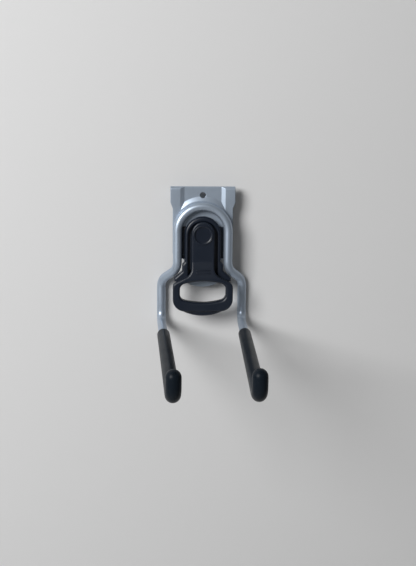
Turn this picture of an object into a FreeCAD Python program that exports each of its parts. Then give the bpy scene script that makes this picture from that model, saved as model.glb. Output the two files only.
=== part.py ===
import FreeCAD, Part
import Sketcher
import math
import os

# Utility hook that hangs on a slotted wall rail and locks under it with a sprung pull latch.
# Frame: origin at the centre of the fixing hole, on the rear face of the pressed-back panel.
# X is to the right, Y towards the wall, Z up. A level is a distance forward of Y = 0.

os.makedirs("parts", exist_ok=True)
doc = FreeCAD.newDocument("utility_hook")

# How far apart, in millimetres, two places may lie and still count as one
TOUCHING = 1e-3
# Steps along an edge at which its place is looked at
EDGE_STEPS = 4
# Share of the flare's straight run that lies above the front's lower crease
CREASE_SHARE = 0.25

# Driving dimensions in millimetres: alias, value, what it is
DIMENSIONS = [
    ("plate_thickness", 2.0, "steel sheet of the back plate"),
    ("panel_recess", 1.5, "how far the top panel is pressed back"),
    ("panel_floor_width", 40.0, "flat of the pressed panel"),
    ("panel_crease", 4.4, "width of the sloped crease round the panel"),
    ("panel_arch_gap", 1.2, "from the rod's arch to the crease above it"),
    ("head_width", 70.0, "plate over the rail"),
    ("head_drop", 7.8, "hole centre to the end of the head's sides"),
    ("head_slant", 6.5, "height of the slanted step from head to body"),
    ("body_width", 65.0, "plate behind the rod's arch"),
    ("body_drop", 63.5, "hole centre to the end of the body's sides"),
    ("waist_slant", 6.7, "height of the step from body to tongue"),
    ("tongue_width", 40.0, "narrow lower end of the plate"),
    ("tongue_drop", 100.2, "hole centre to the rounded lower edge"),
    ("tongue_radius", 37.0, "radius of the lower edge"),
    ("tongue_corner", 4.0, "rounding where tongue side and lower edge meet"),
    ("fold_rise", 9.2, "hole centre to the top of the fold"),
    ("fold_radius", 1.0, "inside radius of the folds"),
    ("lip_gap", 5.0, "room for the rail's top lip"),
    ("lip_drop", 2.5, "hole centre to the lower edge of the hanging lip"),
    ("lip_notch", 16.0, "gap in the hanging lip behind the hole"),
    ("fixing_hole_diameter", 6.4, "hole for a screw into the rail"),
    ("rod_diameter", 9.5, "steel rod"),
    ("weld_flat", 0.25, "how deep the rod is pressed onto the plate by its weld"),
    ("arch_radius", 27.4, "rod's arch, to the centre line"),
    ("arch_top_drop", 11.8, "hole centre to the arch's highest centre line"),
    ("shoulder_drop", 79.5, "hole centre to the corner where the legs turn out"),
    ("shoulder_height", 15.0, "height over which the legs spread"),
    ("shoulder_bend", 14.0, "bend radius at the shoulders"),
    ("legs_width", 89.4, "between the lower legs' centre lines"),
    ("wall_depth", 12.5, "pressed panel's rear face to the wall"),
    ("arm_drop", 140.6, "hole centre to the arms' centre line"),
    ("arm_reach", 224.9, "panel's rear face to the upturned tips' centre line"),
    ("tip_spacing", 68.4, "between the tips' centre lines"),
    ("arm_bend", 12.0, "bend radius from leg to arm"),
    ("elbow_bend", 11.0, "bend radius from arm to tip"),
    ("tip_rise", 17.5, "arm's centre line to the rod's end in the tip"),
    ("grip_diameter", 13.0, "outside of the sleeves"),
    ("grip_start", 48.0, "panel's rear face to the sleeves' open ends"),
    ("grip_fit", 0.1, "gap between rod and sleeve"),
    ("grip_edge", 0.9, "rounding of the sleeves' open ends"),
    ("housing_width", 38.8, "latch housing between the rod's legs"),
    ("housing_top_drop", 22.6, "hole centre to the top of the housing's arch"),
    ("housing_base", 1.8, "floor of the housing"),
    ("housing_height", 8.0, "plate to the front of the housing's rim"),
    ("housing_rod_gap", 0.5, "between the rod's shoulders and the housing"),
    ("housing_shoulder_width", 61.4, "housing at its flared lower end"),
    ("housing_foot", 13.3, "shoulder corner to the housing's lower edge"),
    ("cheek_fit", 0.4, "between the rod's legs and the housing's cheeks"),
    ("cheek_rise", 8.0, "shoulder corner up to the top of the cheeks"),
    ("skirt_top_drop", 34.0, "hole centre to the upper end of the skirts beside the housing"),
    ("skirt_rise", 10.9, "shoulder corner up to their lower end"),
    ("housing_edge", 2.2, "rounding of the rim's outer edge"),
    ("guide_width", 35.4, "slot that guides the latch's flange"),
    ("guide_height", 2.7, "height of that slot"),
    ("channel_width", 32.4, "opening between the rims"),
    ("post_diameter", 4.0, "posts of the housing that pass through the plate"),
    ("post_head_diameter", 6.4, "their flattened ends behind the plate"),
    ("post_head_height", 1.0, "thickness of the flattened ends"),
    ("post_fit", 0.1, "gap round the posts"),
    ("post_spacing", 29.0, "between the left and right posts"),
    ("upper_post_drop", 50.0, "hole centre to the upper posts"),
    ("lower_post_rise", 8.3, "housing's lower edge up to the lower posts"),
    ("slide_gap", 0.3, "running gap of the latch"),
    ("ring_gap", 0.9, "housing's lower edge to the ring behind the bar"),
    ("flange_thickness", 2.1, "flange that runs in the guide"),
    ("flange_drop", 81.0, "hole centre to the lower end of the flange"),
    ("latch_travel", 8.0, "how far the latch pulls down"),
    ("spine_width", 24.2, "raised spine of the latch"),
    ("spine_head_drop", 40.0, "hole centre to the centre of the round head"),
    ("spine_level", 15.5, "front of the spine"),
    ("sweep_height", 18.0, "height over which the front sweeps forward to the ring"),
    ("dimple_offset", 1.8, "dish's centre below the centre of the round head"),
    ("dimple_diameter", 18.0, "round thumb dish in the head"),
    ("dimple_depth", 3.2, "depth of the dish"),
    ("dimple_edge", 0.6, "rounding of the dish's rim"),
    ("flare_radius", 11.0, "hollow curve at the start of the flare"),
    ("flare_slope", 0.52, "fall of the flare for each unit of width"),
    ("ring_width", 64.6, "pull ring"),
    ("ring_height", 25.6, "straight and round part of the ring's sides, from its lower edge"),
    ("ring_corner", 13.0, "outer radius at the ring's lower corners"),
    ("ring_shoulder", 6.0, "outer radius at the ring's upper corners"),
    ("ring_end_drop", 124.2, "hole centre to the ring's lower edge"),
    ("ring_level", 19.0, "front of the ring"),
    ("ring_depth", 8.5, "ring from front to back"),
    ("opening_width", 49.4, "finger opening"),
    ("opening_height", 23.8, "its height in the middle"),
    ("bar_height", 8.9, "ring's lower bar under the opening"),
    ("opening_bow", 4.2, "bow of its upper and lower edges"),
    ("opening_corner", 6.5, "radius of its corners"),
    ("finger_lip_width", 48.0, "crescent under the ring's bar"),
    ("finger_lip_drop", 5.4, "how far it hangs below the bar"),
    ("finger_lip_depth", 5.0, "its thickness"),
    ("latch_edge", 0.8, "rounding of the latch's front edges"),
    ("opening_edge", 2.0, "rounding of the finger opening's front edge"),
    ("claw_width", 16.0, "claw that hooks behind the rail"),
    ("claw_gap", 0.5, "between the claw and the rail's lower edge"),
    ("claw_fit", 0.9, "gap at each side of the claw in its slot"),
    ("rail_drop", 61.4, "hole centre to the rail's lower edge"),
    ("claw_height", 5.8, "claw's nose above its arm"),
    ("claw_thickness", 3.6, "claw's nose from front to back"),
    ("claw_arm", 7.0, "height of the claw's arm at its root"),
    ("spring_diameter", 4.8, "outside of the return spring"),
    ("spring_wire", 0.7, "its wire"),
    ("spring_turns", 6.0, "its turns"),
    ("spring_length", 13.6, "its length at rest"),
    ("spring_fit", 0.6, "gap at each side of the spring in its cavity"),
    ("seat_thickness", 2.9, "lug of the housing that the spring stands on"),
    ("skin", 2.2, "wall of the hollow latch"),
]

sizes = doc.addObject("Spreadsheet::Sheet", "sizes")
for row, (alias, value, note) in enumerate(DIMENSIONS, start=1):
    sizes.set(f"A{row}", note)
    sizes.set(f"B{row}", str(value))
    sizes.setAlias(f"B{row}", alias)
doc.recompute()


class Size:
    """A length: its value now, and the expression that keeps a feature bound to the sheet."""

    def __init__(self, value, text):
        self.value = float(value)
        self.text = text

    def __add__(self, other):
        other = as_size(other)
        return Size(self.value + other.value, f"({self.text} + {other.text})")

    def __sub__(self, other):
        other = as_size(other)
        return Size(self.value - other.value, f"({self.text} - {other.text})")

    def __mul__(self, other):
        other = as_size(other)
        return Size(self.value * other.value, f"({self.text} * {other.text})")

    def __truediv__(self, other):
        other = as_size(other)
        return Size(self.value / other.value, f"({self.text} / {other.text})")

    def __neg__(self):
        return Size(-self.value, f"(0 - {self.text})")

    def root(self):
        return Size(math.sqrt(self.value), f"sqrt({self.text})")


def as_size(number):
    return number if isinstance(number, Size) else Size(number, str(number))


def cell(alias):
    """The sheet's value under that alias."""
    return Size(getattr(sizes, alias), f"sizes.{alias}")


ZERO = Size(0.0, "0")


class Line:
    """Straight edge of an outline, to the point (x, z)."""

    def __init__(self, x, z):
        self.end = (as_size(x), as_size(z))


class Arc:
    """Round edge of an outline, to the point (x, z) about a centre, clockwise or not."""

    def __init__(self, x, z, centre_x, centre_z, clockwise):
        self.end = (as_size(x), as_size(z))
        self.centre = (as_size(centre_x), as_size(centre_z))
        self.clockwise = clockwise


def mirrored(start, edges):
    """A whole outline from its right half, which starts and ends on the middle line."""
    points = [start] + [edge.end for edge in edges]
    whole = list(edges)
    for edge, (x, z) in zip(reversed(edges), reversed(points[:-1])):
        if isinstance(edge, Arc):
            whole.append(Arc(-x, z, -edge.centre[0], edge.centre[1], edge.clockwise))
        else:
            whole.append(Line(-x, z))
    return whole


def fix_point(sketch, geometry, position, point):
    """Binds both coordinates of a point to the sheet, or lays it on an axis."""
    for kind, axis, size in (("DistanceX", -2, point[0]), ("DistanceY", -1, point[1])):
        if abs(size.value) < TOUCHING:
            sketch.addConstraint(Sketcher.Constraint("PointOnObject", geometry, position, axis))
            continue
        origin = (kind, -1, 1, geometry, position, size.value)
        index = sketch.addConstraint(Sketcher.Constraint(*origin))
        sketch.setExpression(f"Constraints[{index}]", size.text)


def draw_outline(sketch, start, edges):
    """Draws a closed outline with every corner and centre bound to the sheet."""
    here = start
    ends = []
    for edge in edges:
        a = FreeCAD.Vector(here[0].value, here[1].value, 0)
        b = FreeCAD.Vector(edge.end[0].value, edge.end[1].value, 0)
        if isinstance(edge, Arc):
            c = FreeCAD.Vector(edge.centre[0].value, edge.centre[1].value, 0)
            first, last = (b, a) if edge.clockwise else (a, b)
            angles = [math.atan2((p - c).y, (p - c).x) for p in (first, last)]
            circle = Part.Circle(c, FreeCAD.Vector(0, 0, 1), (a - c).Length)
            index = sketch.addGeometry(Part.ArcOfCircle(circle, angles[0], angles[1]))
            start_position, end_position = (2, 1) if edge.clockwise else (1, 2)
        else:
            index = sketch.addGeometry(Part.LineSegment(a, b))
            start_position, end_position = 1, 2
        ends.append((index, start_position, end_position))
        here = edge.end
    corners = [start] + [edge.end for edge in edges[:-1]]
    for number, (index, start_position, end_position) in enumerate(ends):
        following = ends[(number + 1) % len(ends)]
        sketch.addConstraint(
            Sketcher.Constraint("Coincident", index, end_position, following[0], following[1]))
        fix_point(sketch, index, start_position, corners[number])
    here = start
    for (index, _, _), edge in zip(ends, edges):
        if isinstance(edge, Arc):
            fix_centre(sketch, index, here, edge)
        here = edge.end


def fix_centre(sketch, index, start, edge):
    """An arc between two fixed ends has one freedom left: one coordinate of its centre."""
    across = abs(edge.end[0].value - start[0].value)
    along = abs(edge.end[1].value - start[1].value)
    kind, axis, size = ("DistanceX", -2, edge.centre[0])
    if across > along:
        kind, axis, size = ("DistanceY", -1, edge.centre[1])
    if abs(size.value) < TOUCHING:
        sketch.addConstraint(Sketcher.Constraint("PointOnObject", index, 3, axis))
        return
    number = sketch.addConstraint(Sketcher.Constraint(kind, -1, 1, index, 3, size.value))
    sketch.setExpression(f"Constraints[{number}]", size.text)


def new_body(name):
    body = doc.addObject("PartDesign::Body", name)
    body.Label = name
    return body


def new_sketch(body, name, role, offset=ZERO):
    """A sketch on one of the body's own planes. On XZ_Plane the offset is a level."""
    plane = [feature for feature in body.Origin.OriginFeatures if feature.Role == role][0]
    sketch = body.newObject("Sketcher::SketchObject", name)
    sketch.AttachmentSupport = [(plane, "")]
    sketch.MapMode = "FlatFace"
    sketch.setExpression(".AttachmentOffset.Base.z", offset.text)
    return sketch


def add_circle(sketch, x, z, diameter):
    """A circle with its place and diameter bound to the sheet."""
    centre = FreeCAD.Vector(x.value, z.value, 0)
    index = sketch.addGeometry(Part.Circle(centre, FreeCAD.Vector(0, 0, 1), diameter.value / 2))
    fix_point(sketch, index, 3, (x, z))
    number = sketch.addConstraint(Sketcher.Constraint("Diameter", index, diameter.value))
    sketch.setExpression(f"Constraints[{number}]", diameter.text)


def rectangle(left, right, low, high):
    """A rectangle as a start point and four edges."""
    return (left, low), [Line(right, low), Line(right, high), Line(left, high), Line(left, low)]


def pad(body, name, sketch, length, both_sides=False):
    """Adds a sketch's outline, forward from its plane or to both sides of it."""
    feature = body.newObject("PartDesign::Pad", name)
    feature.Profile = sketch
    feature.setExpression("Length", length.text)
    if both_sides:
        feature.SideType = "Symmetric"
    doc.recompute()
    return feature


def pocket(body, name, sketch, length=None, forward=False, both_sides=False):
    """Cuts a sketch's outline, rearward unless told otherwise, and checks that it cut."""
    before = body.Shape.Volume
    feature = body.newObject("PartDesign::Pocket", name)
    feature.Profile = sketch
    if length is None:
        feature.Type = "ThroughAll"
    else:
        feature.setExpression("Length", length.text)
    feature.Reversed = forward
    if both_sides:
        feature.SideType = "Symmetric"
    doc.recompute()
    if body.Shape.Volume >= before:
        raise ValueError(f"{name} cut nothing")
    return feature


def round_edges(body, name, radius, chosen):
    """Fillets the edges of the body's tip that a test picks."""
    tip = body.Tip
    picked = [f"Edge{number}" for number, edge in enumerate(tip.Shape.Edges, start=1) if chosen(edge)]
    if not picked:
        raise ValueError(f"{name} found no edge")
    feature = body.newObject("PartDesign::Fillet", name)
    feature.Base = (tip, picked)
    feature.setExpression("Radius", radius.text)
    doc.recompute()
    return feature


def level_of(edge):
    """The level that an edge lies in, or None where it doesn't lie in one."""
    box = edge.BoundBox
    if box.YLength > TOUCHING:
        return None
    return -box.YMin


def near(value, target):
    """Whether a measured place, if there is one, is the wanted one."""
    return value is not None and abs(value - target) < TOUCHING


def points_of(edge):
    """Evenly spaced points along an edge, both ends included."""
    run = edge.LastParameter - edge.FirstParameter
    return [edge.valueAt(edge.FirstParameter + run * step / EDGE_STEPS) for step in range(EDGE_STEPS + 1)]


# Levels and places that more than one piece uses
panel_front = cell("plate_thickness")
plate_rear = cell("panel_recess")
plate_front = plate_rear + cell("plate_thickness")
rod_radius = cell("rod_diameter") / 2
rod_level = plate_front + rod_radius - cell("weld_flat")
arch_centre = -(cell("arch_top_drop") + cell("arch_radius"))
housing_floor = plate_front + cell("housing_base")
guide_level = housing_floor + cell("guide_height")
rim_level = plate_front + cell("housing_height")
flange_rear = housing_floor + cell("slide_gap")
flange_front = flange_rear + cell("flange_thickness")
housing_half = cell("housing_width") / 2
housing_arch = -(cell("housing_top_drop") + housing_half)
housing_end = -(cell("shoulder_drop") + cell("housing_foot"))
claw_top = -(cell("rail_drop") + cell("claw_gap"))
claw_root_end = claw_top - cell("claw_arm")
slot_top = claw_top + cell("slide_gap")
slot_end = claw_root_end - cell("latch_travel") - cell("slide_gap")
slot_half = cell("claw_width") / 2 + cell("claw_fit")
seat_top = slot_top + cell("seat_thickness")
spring_level = flange_rear + cell("slide_gap") + cell("spring_diameter") / 2
cavity_top = seat_top + cell("spring_length") + cell("slide_gap")


def arch_outline(half_width, top_centre, end):
    """Round at the top, straight at the sides and square at the lower end."""
    start = (ZERO, top_centre + half_width)
    edges = [
        Arc(half_width, top_centre, ZERO, top_centre, True),
        Line(half_width, end),
        Line(ZERO, end),
    ]
    return start, mirrored(start, edges)


def bowed_outline(half_width, top, end, bow, corner):
    """Bowed top and bottom, straight sides, and corners rounded tangent to both."""
    radius = (half_width * half_width + bow * bow) / (bow * 2)
    inner = radius - corner
    corner_x = half_width - corner
    rise = (inner * inner - corner_x * corner_x).root()
    touch_x = corner_x * radius / inner
    touch_rise = rise * radius / inner
    top_centre = top - radius
    end_centre = end + radius
    start = (ZERO, top)
    return start, mirrored(start, [
        Arc(touch_x, top_centre + touch_rise, ZERO, top_centre, True),
        Arc(half_width, top_centre + rise, corner_x, top_centre + rise, True),
        Line(half_width, end_centre - rise),
        Arc(touch_x, end_centre - touch_rise, corner_x, end_centre - rise, True),
        Arc(ZERO, end, ZERO, end_centre, True),
    ])


def build_back_plate():
    """One steel sheet: hanging lip, pressed panel, shouldered outline, slot and holes."""
    body = new_body("back_plate")
    thickness = cell("plate_thickness")
    inner = cell("fold_radius")
    outer = inner + thickness
    top = cell("fold_rise")
    lip_front = cell("lip_gap") - plate_rear
    lip_rear = lip_front + thickness
    bottom = -cell("tongue_drop")
    bend_front = inner - plate_rear
    bend_rear = lip_front - inner
    sheet_end = bottom - thickness
    side = new_sketch(body, "sheet_section", "YZ_Plane")
    start = (-plate_front, sheet_end)
    draw_outline(side, start, [
        Line(-plate_rear, sheet_end),
        Line(-plate_rear, top - outer),
        Arc(bend_front, top - thickness, bend_front, top - outer, True),
        Line(bend_rear, top - thickness),
        Arc(lip_front, top - outer, bend_rear, top - outer, True),
        Line(lip_front, -cell("lip_drop")),
        Line(lip_rear, -cell("lip_drop")),
        Line(lip_rear, top - outer),
        Arc(bend_rear, top, bend_rear, top - outer, False),
        Line(bend_front, top),
        Arc(-plate_front, top - outer, bend_front, top - outer, False),
        Line(-plate_front, sheet_end),
    ])
    pad(body, "folded_sheet", side, cell("head_width"), both_sides=True)

    press_panel(body)

    head = cell("head_width") / 2
    waist = cell("body_width") / 2
    tongue = cell("tongue_width") / 2
    radius = cell("tongue_radius")
    centre = bottom + radius
    tongue_end = centre - (radius * radius - tongue * tongue).root()
    margin = head + thickness * 2
    above = top + thickness
    below = sheet_end - thickness
    body_start = -(cell("head_drop") + cell("head_slant"))
    trim = new_sketch(body, "plate_outline", "XZ_Plane")
    start = (ZERO, above)
    draw_outline(trim, start, mirrored(start, [
        Line(head, above),
        Line(head, -cell("head_drop")),
        Line(waist, body_start),
        Line(waist, -cell("body_drop")),
        Line(tongue, -(cell("body_drop") + cell("waist_slant"))),
        Line(tongue, tongue_end),
        Arc(ZERO, bottom, ZERO, centre, True),
    ]))
    outside, frame_edges = rectangle(-margin, margin, below, above + thickness)
    draw_outline(trim, outside, frame_edges)
    pocket(body, "cut_outline", trim, both_sides=True)

    def tongue_corner(edge):
        box = edge.BoundBox
        along_thickness = box.XLength < TOUCHING and box.ZLength < TOUCHING
        return along_thickness and near(abs(box.XMin), tongue.value) and near(box.ZMin, tongue_end.value)

    round_edges(body, "tongue_corners", cell("tongue_corner"), tongue_corner)

    openings = new_sketch(body, "plate_openings", "XZ_Plane")
    add_circle(openings, ZERO, ZERO, cell("fixing_hole_diameter"))
    post_hole = cell("post_diameter") + cell("post_fit") * 2
    for x, z in post_places():
        add_circle(openings, x, z, post_hole)
    corner, edges = rectangle(-slot_half, slot_half, slot_end, slot_top)
    draw_outline(openings, corner, edges)
    pocket(body, "punch_openings", openings, plate_front * 2, forward=True)
    notch = new_sketch(body, "lip_notch", "XZ_Plane", -lip_front)
    notch_half = cell("lip_notch") / 2
    corner, edges = rectangle(-notch_half, notch_half, -cell("lip_drop") - thickness, top - outer)
    draw_outline(notch, corner, edges)
    pocket(body, "cut_lip_notch", notch, thickness * 2)


def press_panel(body):
    """Presses the middle of the head back. The bulge is wider, so the sheet keeps its thickness."""
    recess = cell("panel_recess")
    floor = cell("panel_floor_width") / 2
    crease = cell("panel_crease")
    arch = cell("arch_radius") + rod_radius + cell("panel_arch_gap")
    top = cell("fold_rise")
    fall = recess / crease
    widening = cell("plate_thickness") * ((fall * fall + 1).root() - 1) / fall

    def panel_outline(name, level, half_width, arch_size, upper):
        sketch = new_sketch(body, name, "XZ_Plane", level)
        reach = arch_centre + (arch_size * arch_size - half_width * half_width).root()
        start = (ZERO, upper)
        draw_outline(sketch, start, mirrored(start, [
            Line(half_width, upper),
            Line(half_width, reach),
            Arc(ZERO, arch_centre + arch_size, ZERO, arch_centre, False),
        ]))
        return sketch

    front = panel_outline("hollow_rim", plate_front, floor + crease, arch, top + recess)
    back = panel_outline("hollow_floor", panel_front, floor, arch + crease, top + recess)
    before = body.Shape.Volume
    hollow = body.newObject("PartDesign::SubtractiveLoft", "press_hollow")
    hollow.Profile = front
    hollow.Sections = [back]
    doc.recompute()
    if body.Shape.Volume >= before:
        raise ValueError("press_hollow cut nothing")
    upper = top - cell("plate_thickness")
    root = panel_outline("bulge_root", plate_rear, floor + crease + widening, arch - widening, upper)
    crown = panel_outline("bulge_crown", ZERO, floor + widening, arch + crease - widening, upper)
    bulge = body.newObject("PartDesign::AdditiveLoft", "press_bulge")
    bulge.Profile = root
    bulge.Sections = [crown]
    doc.recompute()


def post_places():
    """Centres of the housing's four posts."""
    side = cell("post_spacing") / 2
    heights = (-cell("upper_post_drop"), housing_end + cell("lower_post_rise"))
    return [(x, z) for z in heights for x in (-side, side)]


def build_latch_housing():
    """Moulded housing: floor, guide slot, overhanging rim, flared shoulders and posts."""
    body = new_body("latch_housing")
    shoulder_half = cell("housing_shoulder_width") / 2
    run = cell("legs_width") / 2 - cell("arch_radius")
    fall = cell("shoulder_height")
    slant = (run * run + fall * fall).root()
    offset = (rod_radius + cell("housing_rod_gap")) * slant / run
    shoulder_line = -cell("shoulder_drop") - offset

    def fall_at(x):
        return shoulder_line - (x - cell("arch_radius")) * fall / run

    cheek_half = cell("arch_radius") - rod_radius - cell("cheek_fit")
    cheek_top = cell("cheek_rise") - cell("shoulder_drop")
    outer_start = (ZERO, housing_arch + housing_half)
    outer = mirrored(outer_start, [
        Arc(housing_half, housing_arch, ZERO, housing_arch, True),
        Line(housing_half, cheek_top),
        Line(cheek_half, cheek_top - (cheek_half - housing_half)),
        Line(cheek_half, fall_at(cheek_half)),
        Line(shoulder_half, fall_at(shoulder_half)),
        Line(shoulder_half, housing_end),
        Line(ZERO, housing_end),
    ])
    floor = new_sketch(body, "floor_outline", "XZ_Plane", plate_front)
    draw_outline(floor, outer_start, outer)
    pad(body, "floor", floor, cell("housing_height"))
    skirt = new_sketch(body, "skirt_outline", "XZ_Plane", plate_front)
    skirt_end = cell("skirt_rise") - cell("shoulder_drop")
    corner, edges = rectangle(-cheek_half, cheek_half, skirt_end, -cell("skirt_top_drop"))
    draw_outline(skirt, corner, edges)
    pad(body, "skirts", skirt, cell("housing_base"))

    guide_half = cell("guide_width") / 2
    guide = new_sketch(body, "guide_outline", "XZ_Plane", housing_floor)
    below = housing_end - cell("housing_base")
    start, edges = arch_outline(guide_half, housing_arch, below)
    draw_outline(guide, start, edges)
    pocket(body, "guide_slot", guide, cell("guide_height"), forward=True)
    channel_half = cell("channel_width") / 2
    channel = new_sketch(body, "channel_outline", "XZ_Plane", rim_level)
    head_top = cell("spine_width") / 2 - cell("spine_head_drop")
    channel_arch = head_top + cell("slide_gap") - channel_half
    start, edges = arch_outline(channel_half, channel_arch, below)
    draw_outline(channel, start, edges)
    pocket(body, "channel", channel, rim_level - guide_level)

    slot = new_sketch(body, "claw_slot_outline", "XZ_Plane", housing_floor)
    corner, edges = rectangle(-slot_half, slot_half, slot_end, slot_top)
    draw_outline(slot, corner, edges)
    pocket(body, "claw_slot", slot, cell("housing_base") * 2)

    seat = new_sketch(body, "spring_seat_outline", "XZ_Plane", plate_front)
    seat_half = cell("spring_diameter") / 2
    corner, edges = rectangle(-seat_half, seat_half, slot_top, seat_top)
    draw_outline(seat, corner, edges)
    seat_level = spring_level + cell("spring_diameter") / 2
    pad(body, "spring_seat", seat, seat_level - plate_front)

    posts = new_sketch(body, "post_outline", "XZ_Plane", plate_rear)
    heads = new_sketch(body, "post_head_outline", "XZ_Plane", plate_rear - cell("post_head_height"))
    for x, z in post_places():
        add_circle(posts, x, z, cell("post_diameter"))
        add_circle(heads, x, z, cell("post_head_diameter"))
    pad(body, "posts", posts, cell("plate_thickness") + cell("housing_base") / 2)
    pad(body, "post_heads", heads, cell("post_head_height"))

    rim_middle = (channel_half.value + housing_half.value) / 2

    def outer_rim_edge(edge):
        """A front edge of the rim outside the channel, apart from the square lower end."""
        middle = points_of(edge)[EDGE_STEPS // 2]
        from_middle = abs(middle.x)
        if middle.z > housing_arch.value:
            from_middle = math.hypot(middle.x, middle.z - housing_arch.value)
        in_front = near(level_of(edge), rim_level.value)
        return in_front and from_middle > rim_middle and not near(middle.z, housing_end.value)

    round_edges(body, "rim_edge", cell("housing_edge"), outer_rim_edge)


def build_latch_slide():
    """Moulded latch: spine with a thumb dish, flange, sprung cavity, claw and pull ring."""
    body = new_body("latch_slide")
    skin = cell("skin")
    ring_half = cell("ring_width") / 2
    ring_end = -cell("ring_end_drop")
    ring_front = cell("ring_level")
    ring_rear = ring_front - cell("ring_depth")
    spine_half = cell("spine_width") / 2
    head_centre = -cell("spine_head_drop")
    spine_front = cell("spine_level")
    flare_rear = rim_level + cell("slide_gap")
    ring_top = housing_end - cell("ring_gap")

    slope = cell("flare_slope")
    norm = (slope * slope + 1).root()
    sine = slope / norm
    cosine = as_size(1) / norm
    hollow = cell("flare_radius")
    shoulder = cell("ring_shoulder")
    side_z = ring_end + cell("ring_height")
    shoulder_x = ring_half - shoulder + shoulder * sine
    shoulder_z = side_z + shoulder * cosine
    flare_end_x = spine_half + hollow - hollow * sine
    flare_end_z = shoulder_z + (shoulder_x - flare_end_x) * slope
    flare_start = flare_end_z + hollow * cosine
    sweep_end = flare_end_z - (flare_end_z - shoulder_z) * CREASE_SHARE
    sweep_start = sweep_end + cell("sweep_height")

    section = new_sketch(body, "front_section", "YZ_Plane")
    top = head_centre + spine_half
    section_top = top + skin
    section_end = ring_end - skin
    flange_end = -cell("flange_drop")
    draw_outline(section, (-flare_rear, section_top), [
        Line(-spine_front, section_top),
        Line(-spine_front, sweep_start),
        Line(-ring_front, sweep_end),
        Line(-ring_front, section_end),
        Line(-ring_rear, section_end),
        Line(-ring_rear, ring_top),
        Line(-flare_rear, ring_top),
        Line(-flare_rear, section_top),
    ])
    pad(body, "front_and_ring", section, cell("ring_width"), both_sides=True)
    core_section = new_sketch(body, "core_section", "YZ_Plane")
    start, edges = rectangle(-flare_rear - skin, -flange_rear, flange_end, section_top)
    draw_outline(core_section, start, edges)
    pad(body, "spine_core", core_section, cell("spine_width"), both_sides=True)

    corner = cell("ring_corner")
    margin = ring_half + corner
    above = top + corner
    below = ring_end - corner
    outline = new_sketch(body, "latch_outline", "XZ_Plane")
    start = (ZERO, top)
    draw_outline(outline, start, mirrored(start, [
        Arc(spine_half, head_centre, ZERO, head_centre, True),
        Line(spine_half, flare_start),
        Arc(flare_end_x, flare_end_z, spine_half + hollow, flare_start, False),
        Line(shoulder_x, shoulder_z),
        Arc(ring_half, side_z, ring_half - shoulder, side_z, True),
        Line(ring_half, ring_end + corner),
        Arc(ring_half - corner, ring_end, ring_half - corner, ring_end + corner, True),
        Line(ZERO, ring_end),
    ]))
    frame_start, frame_edges = rectangle(-margin, margin, below, above)
    draw_outline(outline, frame_start, frame_edges)
    pocket(body, "cut_outline", outline, both_sides=True)

    lip = new_sketch(body, "finger_lip_outline", "XZ_Plane", ring_rear)
    lip_half = cell("finger_lip_width") / 2
    lip_drop = cell("finger_lip_drop")
    lip_overrun = lip_half - (ring_half - corner)
    lip_end = ring_end + corner - (corner * corner - lip_overrun * lip_overrun).root()
    lip_rise = lip_end - (ring_end - lip_drop)
    lip_radius = (lip_half * lip_half + lip_rise * lip_rise) / (lip_rise * 2)
    lip_root = lip_end + skin
    start = (-lip_half, lip_root)
    draw_outline(lip, start, [
        Line(-lip_half, lip_end),
        Arc(lip_half, lip_end, ZERO, ring_end - lip_drop + lip_radius, False),
        Line(lip_half, lip_root),
        Line(-lip_half, lip_root),
    ])
    pad(body, "finger_lip", lip, cell("finger_lip_depth"))

    opening = new_sketch(body, "opening_outline", "XZ_Plane")
    opening_half = cell("opening_width") / 2
    opening_end = ring_end + cell("bar_height")
    opening_top = opening_end + cell("opening_height")
    start, edges = bowed_outline(
        opening_half, opening_top, opening_end, cell("opening_bow"), cell("opening_corner"))
    draw_outline(opening, start, edges)
    pocket(body, "finger_opening", opening, both_sides=True)

    def front_level(z):
        share = (z - sweep_start.value) / (sweep_end.value - sweep_start.value)
        share = min(1.0, max(0.0, share))
        return spine_front.value + share * (ring_front.value - spine_front.value)

    def front_edge(edge):
        """An edge of the front face, apart from the two creases across it."""
        points = points_of(edge)
        in_front = all(near(-point.y, front_level(point.z)) for point in points)
        crease = any(
            all(near(point.z, height.value) for point in points) for height in (sweep_start, sweep_end))
        return in_front and not crease

    def opening_edge(edge):
        """A front edge of the finger opening."""
        reach = opening_half.value + TOUCHING
        low = opening_end.value - TOUCHING
        high = opening_top.value + TOUCHING
        inside = all(abs(point.x) < reach and low < point.z < high for point in points_of(edge))
        return inside and near(level_of(edge), ring_front.value)

    def outline_edge(edge):
        """A front edge of the latch's outline."""
        return front_edge(edge) and not opening_edge(edge)

    round_edges(body, "front_edges", cell("latch_edge"), outline_edge)
    round_edges(body, "opening_edges", cell("opening_edge"), opening_edge)

    flange = new_sketch(body, "flange_outline", "XZ_Plane", flange_rear)
    flange_half = cell("guide_width") / 2 - cell("slide_gap")
    start, edges = arch_outline(flange_half, housing_arch, flange_end)
    draw_outline(flange, start, edges)
    pad(body, "flange", flange, cell("flange_thickness"))

    add_dimple(body, head_centre - cell("dimple_offset"), spine_front)

    cavity = new_sketch(body, "spring_cavity_outline", "XZ_Plane", flange_rear)
    cavity_half = cell("spring_diameter") / 2 + cell("spring_fit")
    corner_point, edges = rectangle(-cavity_half, cavity_half, slot_top, cavity_top)
    draw_outline(cavity, corner_point, edges)
    cavity_level = spring_level + cell("spring_diameter") / 2 + cell("slide_gap")
    pocket(body, "spring_cavity", cavity, cavity_level - flange_rear, forward=True)
    core = new_sketch(body, "head_core_outline", "XZ_Plane", flange_rear)
    start, edges = arch_outline(spine_half - skin, head_centre, cavity_top + skin)
    draw_outline(core, start, edges)
    core_depth = spine_front - cell("dimple_depth") - skin - flange_rear
    pocket(body, "head_core", core, core_depth, forward=True)

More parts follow.
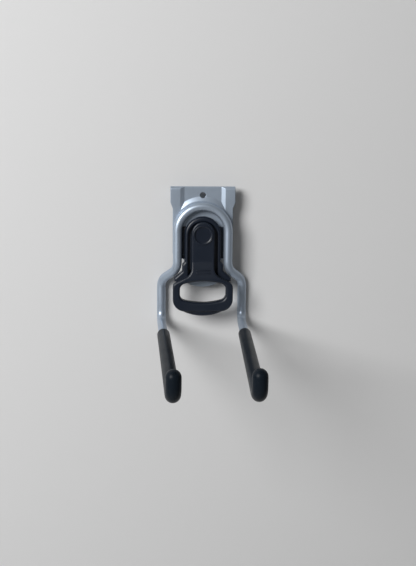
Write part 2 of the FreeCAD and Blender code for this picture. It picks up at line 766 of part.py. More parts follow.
    claw = new_sketch(body, "claw_section", "YZ_Plane")
    nose_front = cell("lip_gap") - plate_rear
    nose_rear = nose_front + cell("claw_thickness")
    nose_top = claw_top + cell("claw_height")
    ramp = cell("claw_thickness") / 2
    root = flange_front
    draw_outline(claw, (-root, claw_top), [
        Line(nose_front, claw_top),
        Line(nose_front, nose_top - ramp / 2),
        Line(nose_front + ramp / 2, nose_top),
        Line(nose_front + ramp, nose_top),
        Line(nose_rear, nose_top - ramp * 2),
        Line(nose_rear, claw_top - ramp),
        Line(nose_front, claw_root_end + ramp),
        Line(-root, claw_root_end),
        Line(-root, claw_top),
    ])
    pad(body, "claw", claw, cell("claw_width"), both_sides=True)


def add_dimple(body, centre_z, front):
    """Turns the shallow thumb dish out of the round head."""
    reach = cell("dimple_diameter") / 2
    depth = cell("dimple_depth")
    radius = (reach * reach + depth * depth) / (depth * 2)
    sketch = new_sketch(body, "dimple_section", "YZ_Plane")
    sketch.setExpression(".AttachmentOffset.Base.y", centre_z.text)
    doc.recompute()
    start = (-front + depth, ZERO)
    draw_outline(sketch, start, [
        Line(-front - depth, ZERO),
        Line(-front - depth, reach),
        Line(-front, reach),
        Arc(-front + depth, ZERO, -front + depth - radius, ZERO, True),
    ])
    before = body.Shape.Volume
    groove = body.newObject("PartDesign::Groove", "dimple")
    groove.Profile = sketch
    groove.ReferenceAxis = (sketch, ["H_Axis"])
    groove.Angle = 360
    doc.recompute()
    if body.Shape.Volume >= before:
        raise ValueError("dimple cut nothing")

    def rim(edge):
        """The round rim of the dish."""
        return near(level_of(edge), front.value) and all(
            near(math.hypot(point.x, point.z - centre_z.value), reach.value) for point in points_of(edge))

    round_edges(body, "dimple_edge", cell("dimple_edge"), rim)


def route_wire(points, radii):
    """Straight runs joined by tangent arcs, one radius for each inner point."""
    edges = []
    here = points[0]
    for before, corner, after, radius in zip(points, points[1:], points[2:], radii):
        arriving = (corner - before).normalize()
        leaving = (after - corner).normalize()
        turn = arriving.getAngle(leaving)
        reach = radius * math.tan(turn / 2)
        start = corner - arriving * reach
        end = corner + leaving * reach
        inward = (leaving - arriving).normalize()
        middle = corner + inward * (radius / math.cos(turn / 2) - radius)
        edges.append(Part.LineSegment(here, start).toShape())
        edges.append(Part.Arc(start, middle, end).toShape())
        here = end
    edges.append(Part.LineSegment(here, points[-1]).toShape())
    return edges


def arm_points(side):
    """Corners of one arm from the rod's end in the tip to the shoulder, side is -1 or 1."""
    tip_x = side * cell("tip_spacing").value / 2
    leg_x = side * cell("legs_width").value / 2
    arch_x = side * cell("arch_radius").value
    reach = -cell("arm_reach").value
    leg_y = cell("wall_depth").value - rod_radius.value
    arm_z = -cell("arm_drop").value
    upper = -cell("shoulder_drop").value
    return [
        FreeCAD.Vector(tip_x, reach, arm_z + cell("tip_rise").value),
        FreeCAD.Vector(tip_x, reach, arm_z),
        FreeCAD.Vector(leg_x, leg_y, arm_z),
        FreeCAD.Vector(leg_x, leg_y, upper - cell("shoulder_height").value),
        FreeCAD.Vector(arch_x, -rod_level.value, upper),
        FreeCAD.Vector(arch_x, -rod_level.value, arch_centre.value),
    ]


def arm_radii():
    """Bend radii at the elbow, the leg's foot and the two shoulder corners."""
    shoulder = cell("shoulder_bend").value
    return [cell("elbow_bend").value, cell("arm_bend").value, shoulder, shoulder]


def rod_route():
    """The rod's whole centre line, from the left tip over the arch to the right tip."""
    left = arm_points(-1)
    right = arm_points(1)
    crown = FreeCAD.Vector(0, -rod_level.value, -cell("arch_top_drop").value)
    arch = Part.Arc(left[-1], crown, right[-1]).toShape()
    right_edges = route_wire(right, arm_radii())
    return Part.Wire(Part.__sortEdges__(route_wire(left, arm_radii()) + [arch] + right_edges))


def grip_route(side, start_level, end_gap):
    """Centre line of a sleeve, from the rod's end in the tip to the open end on the arm."""
    points = arm_points(side)[:3]
    run = points[2] - points[1]
    share = (points[1].y + start_level) / (points[1].y - points[2].y)
    points[2] = points[1] + run * share
    points[0] = points[0] + FreeCAD.Vector(0, 0, end_gap)
    return Part.Wire(route_wire(points, arm_radii()[:1]))


def route_object(name, wire):
    feature = doc.addObject("Part::Feature", name)
    feature.Shape = wire
    return feature


def sweep(name, route, radius):
    """A round bar along a route that starts upright."""
    section = doc.addObject("Part::Circle", f"{name}_section")
    section.setExpression("Radius", radius.text)
    section.Placement = FreeCAD.Placement(route.Shape.Edges[0].Vertexes[0].Point, FreeCAD.Rotation())
    feature = doc.addObject("Part::Sweep", name)
    feature.Sections = [section]
    feature.Spine = (route, [f"Edge{number + 1}" for number in range(len(route.Shape.Edges))])
    feature.Solid = True
    doc.recompute()
    wanted = math.pi * radius.value ** 2 * route.Shape.Length
    print(name, "volume", round(feature.Shape.Volume, 1), "wanted", round(wanted, 1))
    return feature


def build_hook_rod():
    """One bent rod, pressed flat where it is welded to the plate."""
    route = route_object("rod_route", rod_route())
    bar = sweep("rod_bar", route, rod_radius)
    press = doc.addObject("Part::Box", "weld_press")
    waist = cell("body_width") + cell("rod_diameter")
    press.setExpression("Length", waist.text)
    press.setExpression("Width", rod_radius.text)
    lower = cell("body_drop") + cell("waist_slant")
    press.setExpression("Height", lower.text)
    press.setExpression(".Placement.Base.x", (-waist / 2).text)
    press.setExpression(".Placement.Base.y", (-plate_front).text)
    press.setExpression(".Placement.Base.z", (-lower).text)
    rod = doc.addObject("Part::Cut", "hook_rod")
    rod.Base = bar
    rod.Tool = press
    rod.Label = "hook_rod"
    doc.recompute()


def build_grip(name, side):
    """Soft sleeve over one arm, open at the wall end and domed at the tip."""
    radius = cell("grip_diameter") / 2
    start_level = cell("grip_start").value
    outer_route = route_object(f"{name}_route", grip_route(side, start_level, 0.0))
    outer = sweep(f"{name}_tube", outer_route, radius)
    dome = doc.addObject("Part::Sphere", f"{name}_dome")
    dome.setExpression("Radius", radius.text)
    dome.Placement = FreeCAD.Placement(arm_points(side)[0], FreeCAD.Rotation())
    whole = doc.addObject("Part::Fuse", f"{name}_whole")
    whole.Base = outer
    whole.Tool = dome
    whole.Refine = True
    fit = cell("grip_fit")
    overshoot = cell("grip_edge").value
    bore_route = route_object(f"{name}_bore_route", grip_route(side, start_level - overshoot, fit.value))
    bore = sweep(f"{name}_bore", bore_route, rod_radius + fit)
    sleeve = doc.addObject("Part::Cut", f"{name}_sleeve")
    sleeve.Base = whole
    sleeve.Tool = bore
    doc.recompute()
    turn = 2 * math.pi * radius.value
    mouth = [number for number, edge in enumerate(sleeve.Shape.Edges, start=1)
             if near(-edge.CenterOfMass.y, start_level) and near(edge.Length, turn)]
    if not mouth:
        raise ValueError(f"{name} has no open end")
    rounded = doc.addObject("Part::Fillet", name)
    rounded.Base = sleeve
    edge_radius = cell("grip_edge").value
    rounded.Edges = [(number, edge_radius, edge_radius) for number in mouth]
    rounded.Label = name
    doc.recompute()


def build_release_spring():
    """Compression spring between the housing's lug and the top of the latch's cavity."""
    wire_radius = cell("spring_wire").value / 2
    coil_radius = cell("spring_diameter").value / 2 - wire_radius
    height = cell("spring_length").value - cell("spring_wire").value
    pitch = height / cell("spring_turns").value
    helix = Part.makeHelix(pitch, height, coil_radius)
    circle = Part.Circle(FreeCAD.Vector(coil_radius, 0, 0), FreeCAD.Vector(0, 1, 0), wire_radius)
    coil = Part.Wire(helix).makePipeShell([Part.Wire(circle.toShape())], True, True)
    spring = doc.addObject("Part::Feature", "release_spring")
    spring.Shape = coil
    foot = seat_top.value + wire_radius + cell("slide_gap").value / 2
    spring.Placement = FreeCAD.Placement(
        FreeCAD.Vector(0, -spring_level.value, foot), FreeCAD.Rotation())
    spring.Label = "release_spring"


build_back_plate()
build_latch_housing()
build_latch_slide()
build_hook_rod()
build_grip("left_grip", -1)
build_grip("right_grip", 1)
build_release_spring()
doc.recompute()

NODES = ["back_plate", "hook_rod", "left_grip", "right_grip",
         "latch_housing", "latch_slide", "release_spring"]
for item in doc.Objects:
    if "Invalid" in item.State or "Error" in item.State:
        raise ValueError(f"{item.Name} failed: {item.State}")
for node in NODES:
    shape = doc.getObjectsByLabel(node)[0].Shape
    if shape.isNull() or not shape.isValid():
        raise ValueError(f"{node} has no valid shape")
for node in NODES:
    piece = doc.getObjectsByLabel(node)[0]
    shape = piece.Shape
    shape.exportStep(f"parts/{node}.step")
    box = shape.BoundBox
    print(node, len(shape.Solids), "solid", round(shape.Volume, 1), "mm3",
          [round(v, 2) for v in (box.XMin, box.YMin, box.ZMin, box.XMax, box.YMax, box.ZMax)])
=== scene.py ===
# %% [markdown]
# A utility hook for a garage wall
#
# The real thing hangs by the fold at the top of its steel plate, and a sprung plastic latch locks it
# from below. One bent rod is welded to the plate, and its two sleeved arms carry whatever is stored.
# This script dresses the solid model for a studio picture. It gives each piece its finish, adds the
# small things that the solids leave plain, and sets up the stage, the light and the camera. Everything
# is in metres: X to the right, Y towards the wall, Z up.

# %% Load the solid model
import math
import bpy
from mathutils import Matrix, Vector


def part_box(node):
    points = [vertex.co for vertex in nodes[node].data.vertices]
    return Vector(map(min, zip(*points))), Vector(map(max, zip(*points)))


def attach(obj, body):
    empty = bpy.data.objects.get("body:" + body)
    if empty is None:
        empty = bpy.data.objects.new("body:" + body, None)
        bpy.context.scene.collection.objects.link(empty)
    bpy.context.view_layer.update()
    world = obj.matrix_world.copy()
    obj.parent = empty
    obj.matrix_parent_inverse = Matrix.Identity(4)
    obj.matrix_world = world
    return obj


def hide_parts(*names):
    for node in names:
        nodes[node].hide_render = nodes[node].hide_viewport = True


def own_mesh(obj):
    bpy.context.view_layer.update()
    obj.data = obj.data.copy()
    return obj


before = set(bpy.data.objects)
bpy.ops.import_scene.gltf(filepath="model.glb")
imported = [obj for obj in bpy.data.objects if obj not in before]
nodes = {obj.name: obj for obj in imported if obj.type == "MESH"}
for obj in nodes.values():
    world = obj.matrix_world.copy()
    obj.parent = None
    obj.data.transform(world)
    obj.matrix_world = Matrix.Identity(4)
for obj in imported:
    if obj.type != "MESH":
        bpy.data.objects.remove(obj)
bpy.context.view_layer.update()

print("Pieces from the solid model:", sorted(nodes))

# %% [markdown]
# Where things are
#
# The solid model fixes every place. What can be measured on its pieces is measured, from their boxes or
# with a ray towards the wall, which tells where the front of a solid lies. Any other place is written
# down once, here or in the cell that needs it, with the same zero as the solids: the middle of the
# screw hole, on the rear face of the pressed panel. Negative Y is towards the viewer.

# %% Places that the added pieces share
MM = 0.001
latch_low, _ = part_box("latch_slide")
_, rod_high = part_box("hook_rod")
PLATE_FRONT = -3.5 * MM
SPINE_FRONT = -15.5 * MM
RING_FRONT = latch_low[1]
WALL_GAP = 0.3 * MM
WALL_Y = rod_high[1] + WALL_GAP
PROBE_Y = RING_FRONT - 10.0 * MM


def front_y(name, x, z):
    """Where a straight look towards the wall first meets a solid, at a given place."""
    _, place, _, _ = nodes[name].ray_cast(Vector((x, PROBE_Y, z)), Vector((0, 1, 0)))
    return place.y


print("The wall stands at Y =", round(WALL_Y, 4), "and the ring's front at Y =", round(RING_FRONT, 4))

# %% [markdown]
# Finishes
#
# Four materials make up this hook: silver powder coat on the steel, hard textured plastic on the latch,
# soft vinyl on the sleeves, and bare spring wire. All have a fine grain, so the grain is one shader node
# group with its own scale in each material. It gives a height for the Bump node, and a slow patchy mask
# that shifts colour and gloss a little, as moulding, coating and handling do. Image textures could do
# this too, but a noise needs no unwrapping and has no seams.

# %% A shared grain, built once
def grain_group():
    """Fine surface grain: a height for bump, and a slow mask for colour and roughness."""
    group = bpy.data.node_groups.new("surface_grain", "ShaderNodeTree")
    for name, default in (("Grain Size", 2500.0), ("Patch Size", 60.0)):
        socket = group.interface.new_socket(name, in_out="INPUT", socket_type="NodeSocketFloat")
        socket.default_value = default
    for name in ("Height", "Patch"):
        group.interface.new_socket(name, in_out="OUTPUT", socket_type="NodeSocketFloat")
    tree = group.nodes
    join = group.links.new
    entry = tree.new("NodeGroupInput")
    result = tree.new("NodeGroupOutput")
    where = tree.new("ShaderNodeTexCoord")
    fine = tree.new("ShaderNodeTexNoise")
    fine.inputs["Detail"].default_value = 3.0
    slow = tree.new("ShaderNodeTexNoise")
    slow.inputs["Detail"].default_value = 2.0
    join(where.outputs["Object"], fine.inputs["Vector"])
    join(where.outputs["Object"], slow.inputs["Vector"])
    join(entry.outputs["Grain Size"], fine.inputs["Scale"])
    join(entry.outputs["Patch Size"], slow.inputs["Scale"])
    join(fine.outputs["Fac"], result.inputs["Height"])
    join(slow.outputs["Fac"], result.inputs["Patch"])
    return group


GRAIN = grain_group()
print("Built the node group", GRAIN.name)

# %% [markdown]
# Edges
#
# No bent sheet or moulding has a razor edge, and the thin bright line where an edge turns is what tells
# the eye that something is solid. The solids have sharp corners in places, so each finish passes its
# normal through a Bevel node, which rounds the shading over a millimetre or two and leaves the mesh as
# it is. A Bevel modifier could round the mesh itself, but it tears easily on thin triangles. The
# smallest mouldings would be smoothed away by the node, so they have a finer copy of the plastic.

# %% A finish from a colour, a gloss, the grain and a soft edge
def finish(name, colour, roughness, metallic=0.0, specular=0.5, grain_size=2500.0, bump=0.1,
           vary=0.06, tint=0.05, edge=0.3 * MM):
    """A Principled material whose colour and roughness drift a little over the surface."""
    material = bpy.data.materials.new(name)
    material.use_nodes = True
    tree = material.node_tree
    join = tree.links.new
    shader = tree.nodes["Principled BSDF"]
    shader.inputs["Metallic"].default_value = metallic
    shader.inputs["Specular IOR Level"].default_value = specular
    grain = tree.nodes.new("ShaderNodeGroup")
    grain.node_tree = GRAIN
    grain.inputs["Grain Size"].default_value = grain_size
    rough = tree.nodes.new("ShaderNodeMapRange")
    rough.inputs["To Min"].default_value = roughness - vary
    rough.inputs["To Max"].default_value = roughness + vary
    join(grain.outputs["Patch"], rough.inputs["Value"])
    join(rough.outputs["Result"], shader.inputs["Roughness"])
    shade = tree.nodes.new("ShaderNodeMapRange")
    shade.inputs["To Min"].default_value = 1.0 - tint
    shade.inputs["To Max"].default_value = 1.0 + tint
    join(grain.outputs["Patch"], shade.inputs["Value"])
    mix = tree.nodes.new("ShaderNodeMix")
    mix.data_type = "RGBA"
    mix.blend_type = "MULTIPLY"
    mix.inputs["Factor"].default_value = 1.0
    mix.inputs["A"].default_value = (*colour, 1.0)
    join(shade.outputs["Result"], mix.inputs["B"])
    join(mix.outputs["Result"], shader.inputs["Base Color"])
    soft_edge = tree.nodes.new("ShaderNodeBevel")
    soft_edge.samples = 8
    soft_edge.inputs["Radius"].default_value = edge
    relief = tree.nodes.new("ShaderNodeBump")
    relief.inputs["Strength"].default_value = bump
    relief.inputs["Distance"].default_value = 0.2 * MM
    join(grain.outputs["Height"], relief.inputs["Height"])
    join(soft_edge.outputs["Normal"], relief.inputs["Normal"])
    join(relief.outputs["Normal"], shader.inputs["Normal"])
    return material


silver_coat = finish("silver_coat", (0.41, 0.48, 0.57), 0.43, metallic=0.7, grain_size=3500.0,
                     bump=0.05, edge=1.0 * MM)
latch_plastic = finish("latch_plastic", (0.0060, 0.0105, 0.0205), 0.37, specular=0.45,
                       grain_size=4000.0, bump=0.08, edge=2.4 * MM)
fine_plastic = finish("fine_plastic", (0.0065, 0.0105, 0.0200), 0.30, specular=0.5,
                      grain_size=4000.0, bump=0.04, edge=0.1 * MM)
grip_vinyl = finish("grip_vinyl", (0.0065, 0.0100, 0.0150), 0.36, specular=0.09,
                    grain_size=2200.0, bump=0.1)
spring_wire = finish("spring_wire", (0.55, 0.55, 0.56), 0.28, metallic=1.0,
                     bump=0.03, edge=0.05 * MM)
ALL_FINISHES = (silver_coat, latch_plastic, fine_plastic, grip_vinyl, spring_wire)
print("Finishes:", [material.name for material in ALL_FINISHES])

# %% Give every solid its finish
FINISH_OF = {
    "back_plate": silver_coat,
    "hook_rod": silver_coat,
    "left_grip": grip_vinyl,
    "right_grip": grip_vinyl,
    "latch_housing": latch_plastic,
    "latch_slide": latch_plastic,
    "release_spring": spring_wire,
}
for name, material in FINISH_OF.items():
    piece = nodes[name]
    piece.data.materials.clear()
    piece.data.materials.append(material)
    print(name, "has", material.name)

# %% [markdown]
# How the added pieces are made
#
# Each small piece starts as a primitive at its size and place. Its transform is applied at once, so that
# its place is in its mesh, and it is then shaped in edit mode. A Bevel modifier rounds it, and is
# applied. These helpers hold the steps that every piece shares.

# %% Start and end of a modelled piece
MERGE_BELOW = 0.001 * MM
SMOOTH_BELOW = math.radians(40)


def started(name):
    """Names the new primitive, puts its place in its mesh and opens it for editing."""
    piece = bpy.context.object
    piece.name = name
    piece.data.name = name
    bpy.ops.object.transform_apply(location=True, rotation=True, scale=True)
    bpy.ops.object.mode_set(mode="EDIT")
    bpy.ops.mesh.select_all(action="SELECT")
    return piece


def ended(piece, body, material, rounding, segments=3):
    """Closes the piece, rounds its edges, and gives it a finish and a body to ride on."""
    bpy.ops.mesh.select_all(action="SELECT")
    bpy.ops.mesh.remove_doubles(threshold=MERGE_BELOW)
    bpy.ops.mesh.normals_make_consistent(inside=False)
    bpy.ops.object.mode_set(mode="OBJECT")
    if rounding:
        bevel = piece.modifiers.new("rounding", "BEVEL")
        bevel.width = rounding
        bevel.segments = segments
        bevel.limit_method = "ANGLE"
        bpy.ops.object.modifier_apply(modifier=bevel.name)
    bpy.ops.object.shade_smooth_by_angle(angle=SMOOTH_BELOW)
    piece.data.materials.clear()
    piece.data.materials.append(material)
    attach(piece, body)
    print(piece.name, "has", len(piece.data.polygons), "faces and rides on", body)


def copied(piece, name, move, body):
    """A copy with its own mesh, moved by changing its mesh."""
    copy = piece.copy()
    copy.data = piece.data.copy()
    copy.name = name
    copy.data.name = name
    copy.data.transform(Matrix.Translation(Vector(move)))
    bpy.context.scene.collection.objects.link(copy)
    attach(copy, body)
    print(name, "is a copy, moved by", [round(v, 4) for v in move])


# %% [markdown]
# The release spring
#
# A short coil spring stands in the head of the latch and pushes it back up. It has to give way when the
# latch is pulled, and a solid piece can't shorten. So a copy of the solid, with its own mesh, takes its
# place. The copy's loose triangles are merged, and it rides on the frame.

bpy.ops.object.select_all(action="DESELECT")
coil = nodes["release_spring"].copy()
coil.data = nodes["release_spring"].data.copy()
bpy.context.scene.collection.objects.link(coil)
bpy.context.view_layer.objects.active = coil
coil.select_set(True)
started("spring_coil")
ended(coil, "frame", spring_wire, 0)
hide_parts("release_spring")
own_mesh(coil)

# %% [markdown]
# The thumb dish
#
# A round dish in the head of the latch gives the thumb a place to push. The solid has a plain hollow
# there, deeper than the real dish looks. On the real latch the floor is nearly flat, with a small curve
# up to a low rounded rim, and the rim catches a bright arc of light at its upper left. The floor is a
# disc that covers the hollow. It is inset in steps, and each step is pressed back less than the one
# before, which makes the curve. A thin skin gives it a back. The rim is a flat ring, drawn by scaling a
# circle's edge outwards, pulled forward to its height, and rounded. Both could be cut into the solid's
# own mesh, but pieces laid into it are simpler and leave that mesh as it is.

# %% Thumb dish floor
DISH_CENTRE = Vector((0.0, SPINE_FRONT, -41.8 * MM))
DISH_FLOOR_RADIUS = 9.2 * MM
DISH_FLOOR_DEPTH = 0.55 * MM
DISH_FLOOR_EDGE = 1.3 * MM
DISH_FLOOR_CURVE = (0.45, 0.3, 0.17, 0.08)
DISH_FLOOR_SKIN = 0.15 * MM
DISH_ROUND = 96
hollow_y = front_y("latch_slide", DISH_CENTRE.x, DISH_CENTRE.z)
print("The hollow is", round((hollow_y - SPINE_FRONT) / MM, 2), "mm deep in the solid")

bpy.ops.object.select_all(action="DESELECT")
bpy.ops.mesh.primitive_circle_add(
    vertices=DISH_ROUND, radius=DISH_FLOOR_RADIUS, fill_type="NGON",
    location=DISH_CENTRE, rotation=(math.radians(90), 0, 0))
dish_floor = started("dish_floor")
for share in DISH_FLOOR_CURVE:
    bpy.ops.mesh.inset(thickness=DISH_FLOOR_EDGE / len(DISH_FLOOR_CURVE))
    bpy.ops.transform.translate(value=(0, DISH_FLOOR_DEPTH * share, 0))
bpy.ops.object.mode_set(mode="OBJECT")
skin = dish_floor.modifiers.new("skin", "SOLIDIFY")
skin.thickness = DISH_FLOOR_SKIN
skin.offset = -1.0
bpy.ops.object.modifier_apply(modifier=skin.name)
bpy.ops.object.mode_set(mode="EDIT")
ended(dish_floor, "latch", fine_plastic, 0)

# %% Thumb dish rim
DISH_RIM_INSIDE = 9.1 * MM
DISH_RIM_WIDTH = 1.5 * MM
DISH_RIM_HEIGHT = 0.9 * MM
DISH_RIM_SINK = 0.1 * MM
DISH_RIM_ROUNDING = DISH_RIM_HEIGHT * 0.85

bpy.ops.object.select_all(action="DESELECT")
bpy.ops.mesh.primitive_circle_add(
    vertices=DISH_ROUND, radius=DISH_RIM_INSIDE, fill_type="NOTHING",
    location=DISH_CENTRE + Vector((0, DISH_RIM_SINK, 0)), rotation=(math.radians(90), 0, 0))
dish_rim = started("dish_rim")
growth = (DISH_RIM_INSIDE + DISH_RIM_WIDTH) / DISH_RIM_INSIDE
bpy.ops.mesh.extrude_region_move()
bpy.ops.transform.resize(value=(growth, 1, growth), center_override=DISH_CENTRE)
bpy.ops.mesh.select_all(action="SELECT")
bpy.ops.mesh.extrude_region_move(
    TRANSFORM_OT_translate={"value": (0, -(DISH_RIM_HEIGHT + DISH_RIM_SINK), 0)})
ended(dish_rim, "latch", fine_plastic, DISH_RIM_ROUNDING, segments=4)

# %% [markdown]
# The thumb ridges
#
# Two low ridges just above the ring give a thumb something to push on. Each is a bar that follows the
# slope of the front and is pressed a little into it. A cube is enough to start from, because a Bevel
# modifier gives it its round edges and ends.

# %% Thumb ridges
SLOPE_TOP = Vector((0.0, SPINE_FRONT, -70.97 * MM))
SLOPE_END = Vector((0.0, RING_FRONT, -88.97 * MM))
RIDGE_LENGTH = 15.5 * MM
RIDGE_THICKNESS = 1.2 * MM
RIDGE_HEIGHT = 1.7 * MM
RIDGE_ROUNDING = RIDGE_THICKNESS * 0.35
RIDGE_SHARE = 0.485
RIDGE_PITCH = 3.2 * MM

slope = SLOPE_END - SLOPE_TOP
slope_angle = math.atan2(-slope.y, -slope.z)
ridge_place = SLOPE_TOP + slope * RIDGE_SHARE
bpy.ops.object.select_all(action="DESELECT")
bpy.ops.mesh.primitive_cube_add(size=1, location=ridge_place, rotation=(-slope_angle, 0, 0))
bpy.context.object.scale = (RIDGE_LENGTH, RIDGE_HEIGHT, RIDGE_THICKNESS)
upper_ridge = started("upper_ridge")
ended(upper_ridge, "latch", fine_plastic, RIDGE_ROUNDING, segments=4)
copied(upper_ridge, "lower_ridge", slope.normalized() * RIDGE_PITCH, "latch")

# %% [markdown]
# The bead on the finger lip
#
# The finger lip under the ring stands back from the ring's front and carries a small bead along its
# top. A bead that follows an arc is a small circle, swept about the arc's centre with the spin
# operator. Its two open ends are then filled, and rounded with the rest. A curve with a bevel would
# look the same, but the spin keeps an exact arc. The bead sits partly in the lip's front.

# %% Lip bead
BEAD_RADIUS = 0.7 * MM
BEAD_Z = -125.2 * MM
BEAD_ARC = 160.0 * MM
BEAD_REACH = 15.5 * MM
BEAD_PROUD = 0.5 * MM
BEAD_ROUNDING = BEAD_RADIUS * 0.5
bead_angle = math.asin(BEAD_REACH / BEAD_ARC)
lip_front = front_y("latch_slide", 0, BEAD_Z)
print("The lip's front lies at Y =", round(lip_front / MM, 2), "mm")
bead_middle = Vector((0, lip_front + BEAD_RADIUS - BEAD_PROUD, BEAD_Z))
arc_centre = bead_middle - Vector((0, 0, BEAD_ARC))
bead_start = arc_centre + Vector((-math.sin(bead_angle), 0, math.cos(bead_angle))) * BEAD_ARC

bpy.ops.object.select_all(action="DESELECT")
bpy.ops.mesh.primitive_circle_add(
    vertices=16, radius=BEAD_RADIUS, fill_type="NOTHING", location=bead_start,
    rotation=(0, math.radians(90) - bead_angle, 0))
lip_bead = started("lip_bead")
bpy.ops.mesh.spin(steps=24, angle=2 * bead_angle, center=arc_centre, axis=(0, -1, 0))
bpy.ops.mesh.select_all(action="DESELECT")
bpy.ops.mesh.select_mode(type="EDGE")
bpy.ops.mesh.select_non_manifold()
bpy.ops.mesh.edge_face_add()
bpy.ops.mesh.select_mode(type="VERT")
ended(lip_bead, "latch", fine_plastic, BEAD_ROUNDING, segments=2)
bead_reach = max(vertex.co.x for vertex in lip_bead.data.vertices)
print("The bead reaches", round(bead_reach / MM, 1), "mm to each side")

# %% [markdown]
# The pips on the sleeves
#
# Vinyl sleeves of this kind are dipped, and the last drop sets as a small flat pip. It shows as a tiny
# round glint on the front of each upturned end. A short cylinder stands on the dome there, turned to
# the dome's normal. Its face is inset so that the edge can roll over, and it is then rounded. It is
# sunk into the dome, which looks the same as a pip grown out of the sleeve's own mesh.

# %% Sleeve pips
SLEEVE_RADIUS = 6.5 * MM
PIP_RADIUS = 1.2 * MM
PIP_HEIGHT = 0.9 * MM
PIP_SHOWS = 0.3 * MM
PIP_INSET = 0.35 * MM
PIP_ROUNDING = PIP_SHOWS * 0.8
PIP_LEAN = math.radians(40)
DOME_CAP = 0.5 * MM
pip_normal = Vector((0, -math.sin(PIP_LEAN), math.cos(PIP_LEAN)))


def dome_centre(name):
    """The middle of the round end of a sleeve, below its highest point."""
    mesh = nodes[name].data
    top = max(vertex.co.z for vertex in mesh.vertices)
    crown = [vertex.co for vertex in mesh.vertices if vertex.co.z > top - DOME_CAP]
    middle = sum(crown, Vector()) / len(crown)
    return Vector((middle.x, middle.y, top - SLEEVE_RADIUS))


for side in ("left", "right"):
    pip_reach = SLEEVE_RADIUS + PIP_SHOWS - PIP_HEIGHT / 2
    pip_place = dome_centre(f"{side}_grip") + pip_normal * pip_reach
    bpy.ops.object.select_all(action="DESELECT")
    bpy.ops.mesh.primitive_cylinder_add(
        vertices=32, radius=PIP_RADIUS, depth=PIP_HEIGHT, location=pip_place,
        rotation=(PIP_LEAN, 0, 0))
    pip = started(f"{side}_sleeve_pip")
    bpy.ops.mesh.inset(thickness=PIP_INSET, use_individual=True, use_boundary=True)
    ended(pip, "frame", grip_vinyl, PIP_ROUNDING, segments=4)

# %% [markdown]
# The welds
#
# The rod is joined to the plate by a short weld beside each leg. It lies in the corner under the rod,
# so it shows from the side only. A weld is a row of overlapping scales. One scale is a flattened ball,
# an Array modifier repeats it along the leg, and a Remesh modifier fuses the row into one skin. The
# scales could be sculpted one by one, with little to show for it at this size.

# %% Weld beads
WELD_RADIUS = 1.5 * MM
WELD_STEP = 1.3 * MM
WELD_SCALES = 11
WELD_TOP = -46.0 * MM
WELD_X = 30.6 * MM
WELD_SKIN = 0.22 * MM
WELD_PROUD = 0.4 * MM
WELD_FLATTENED = 0.8

bpy.ops.object.select_all(action="DESELECT")
bpy.ops.mesh.primitive_uv_sphere_add(
    segments=20, ring_count=12, radius=WELD_RADIUS,
    location=(WELD_X, PLATE_FRONT - WELD_PROUD, WELD_TOP))
bpy.context.object.scale = (1.0, 1.0, WELD_FLATTENED)
right_weld = started("right_weld")
bpy.ops.object.mode_set(mode="OBJECT")
row = right_weld.modifiers.new("row", "ARRAY")
row.count = WELD_SCALES
row.use_relative_offset = False
row.use_constant_offset = True
row.constant_offset_displace = (0, 0, -WELD_STEP)
bpy.ops.object.modifier_apply(modifier=row.name)
fuse = right_weld.modifiers.new("fuse", "REMESH")
fuse.mode = "VOXEL"
fuse.voxel_size = WELD_SKIN
bpy.ops.object.modifier_apply(modifier=fuse.name)
bpy.ops.object.mode_set(mode="EDIT")
ended(right_weld, "frame", silver_coat, 0)
copied(right_weld, "left_weld", (-2 * WELD_X, 0, 0), "frame")

# %% [markdown]
# Backdrop
#
# The hook is photographed against a plain wall, so the stage is one pale neutral wall and a floor far
# below. A curved backdrop would hide the corner between them, but the camera sees the wall alone. The
# wall shows only from the front: its Backfacing makes it see-through from behind, so that the back of
# the hook can be looked at too.

# %% Stage
STAGE_COLOUR = (0.66, 0.66, 0.66)
WALL_SIZE = 8.0
FLOOR_SIZE = 12.0
FLOOR_Z = -1.3
FACING_VIEWER = (math.radians(90), 0, 0)


def stage_plane(name, size, centre, turn):
    """A flat pale surface that takes shadows and isn't part of the hook."""
    bpy.ops.object.select_all(action="DESELECT")
    bpy.ops.mesh.primitive_plane_add(size=size, location=centre, rotation=turn)
    plane = bpy.context.object
    plane.name = name
    bpy.ops.object.transform_apply(location=True, rotation=True, scale=True)
    material = bpy.data.materials.new(name)
    material.use_nodes = True
    tree = material.node_tree
    shader = tree.nodes["Principled BSDF"]
    shader.inputs["Base Color"].default_value = (*STAGE_COLOUR, 1.0)
    shader.inputs["Roughness"].default_value = 0.9
    shader.inputs["Specular IOR Level"].default_value = 0.1
    clear = tree.nodes.new("ShaderNodeBsdfTransparent")
    side = tree.nodes.new("ShaderNodeNewGeometry")
    choose = tree.nodes.new("ShaderNodeMixShader")
    tree.links.new(side.outputs["Backfacing"], choose.inputs["Fac"])
    tree.links.new(shader.outputs["BSDF"], choose.inputs[1])
    tree.links.new(clear.outputs["BSDF"], choose.inputs[2])
    tree.links.new(choose.outputs["Shader"], tree.nodes["Material Output"].inputs["Surface"])
    plane.data.materials.append(material)
    print(name, "is", size, "m across")


stage_plane("studio_wall", WALL_SIZE, (0, WALL_Y, 0), FACING_VIEWER)
stage_plane("studio_floor", FLOOR_SIZE, (0, 0, FLOOR_Z), (0, 0, 0))

# %% [markdown]
# Light
#
# One large soft lamp stands to the left and above the hook, which throws the long soft shadows of the
# arms to the right and down. Its nearness makes the wall fade gently from the upper left to the lower
# right. A second lamp would add a second set of shadows, and there is only one. The world adds a little
# even light, so that shadows stay deep but not black.

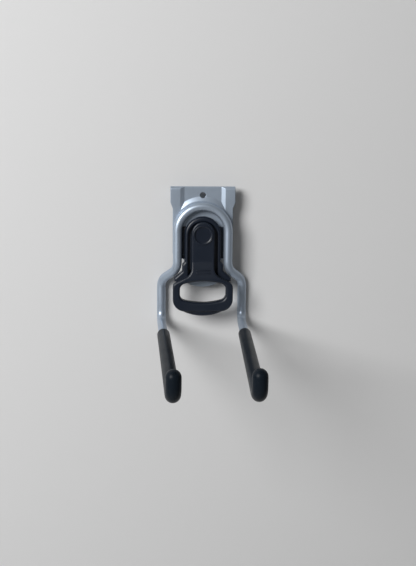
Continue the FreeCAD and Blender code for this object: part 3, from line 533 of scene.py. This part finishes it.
# %% World and lamp
WORLD_STRENGTH = 0.12
KEY_PLACE = (-1.30, -1.60, 0.80)
KEY_TARGET = (0, 0, -0.08)
KEY_SIZE = 1.0
KEY_WATTS = 52.0

world = bpy.data.worlds.new("studio")
bpy.context.scene.world = world
world.use_nodes = True
background = world.node_tree.nodes["Background"]
background.inputs["Color"].default_value = (1.0, 1.0, 1.0, 1.0)
background.inputs["Strength"].default_value = WORLD_STRENGTH

key_data = bpy.data.lights.new("key", "AREA")
key_data.size = KEY_SIZE
key_data.energy = KEY_WATTS
key = bpy.data.objects.new("key", key_data)
bpy.context.scene.collection.objects.link(key)
key.location = KEY_PLACE
key_aim = Vector(KEY_TARGET) - Vector(KEY_PLACE)
key.rotation_euler = key_aim.to_track_quat("-Z", "Y").to_euler()
print("The key lamp gives", KEY_WATTS, "W")

# %% [markdown]
# Camera
#
# The camera was found by fitting points of the photograph to the sizes of the hook. It stands about
# three quarters of a metre away, slightly left and a little above. The picture was cropped off-centre,
# which the lens shift repeats.

# %% Camera
CAMERA_PLACE = Vector((-0.04153, -0.7523, 0.06747))
CAMERA_YAW = math.radians(3.599)
CAMERA_PITCH = math.radians(7.223)
CAMERA_ROLL = math.radians(0.578)
FOCAL_PIXELS = 699.467
SENSOR_MM = 36.0
LONG_SIDE = 566
SHIFT_Y = -0.11

camera_data = bpy.data.cameras.new("camera")
camera_data.sensor_width = SENSOR_MM
camera_data.lens = SENSOR_MM * FOCAL_PIXELS / LONG_SIDE
camera_data.shift_y = SHIFT_Y
camera = bpy.data.objects.new("camera", camera_data)
bpy.context.scene.collection.objects.link(camera)
forward = Vector((
    math.sin(CAMERA_YAW) * math.cos(CAMERA_PITCH),
    math.cos(CAMERA_YAW) * math.cos(CAMERA_PITCH),
    -math.sin(CAMERA_PITCH)))
level_right = Vector((math.cos(CAMERA_YAW), -math.sin(CAMERA_YAW), 0.0))
level_up = level_right.cross(forward)
right = level_right * math.cos(CAMERA_ROLL) + level_up * math.sin(CAMERA_ROLL)
up = level_up * math.cos(CAMERA_ROLL) - level_right * math.sin(CAMERA_ROLL)
turn = Matrix((right, up, -forward)).transposed().to_4x4()
camera.matrix_world = Matrix.Translation(CAMERA_PLACE) @ turn
bpy.context.scene.camera = camera
bpy.context.scene.view_settings.view_transform = "Standard"
print("Lens in millimetres:", round(camera_data.lens, 1))
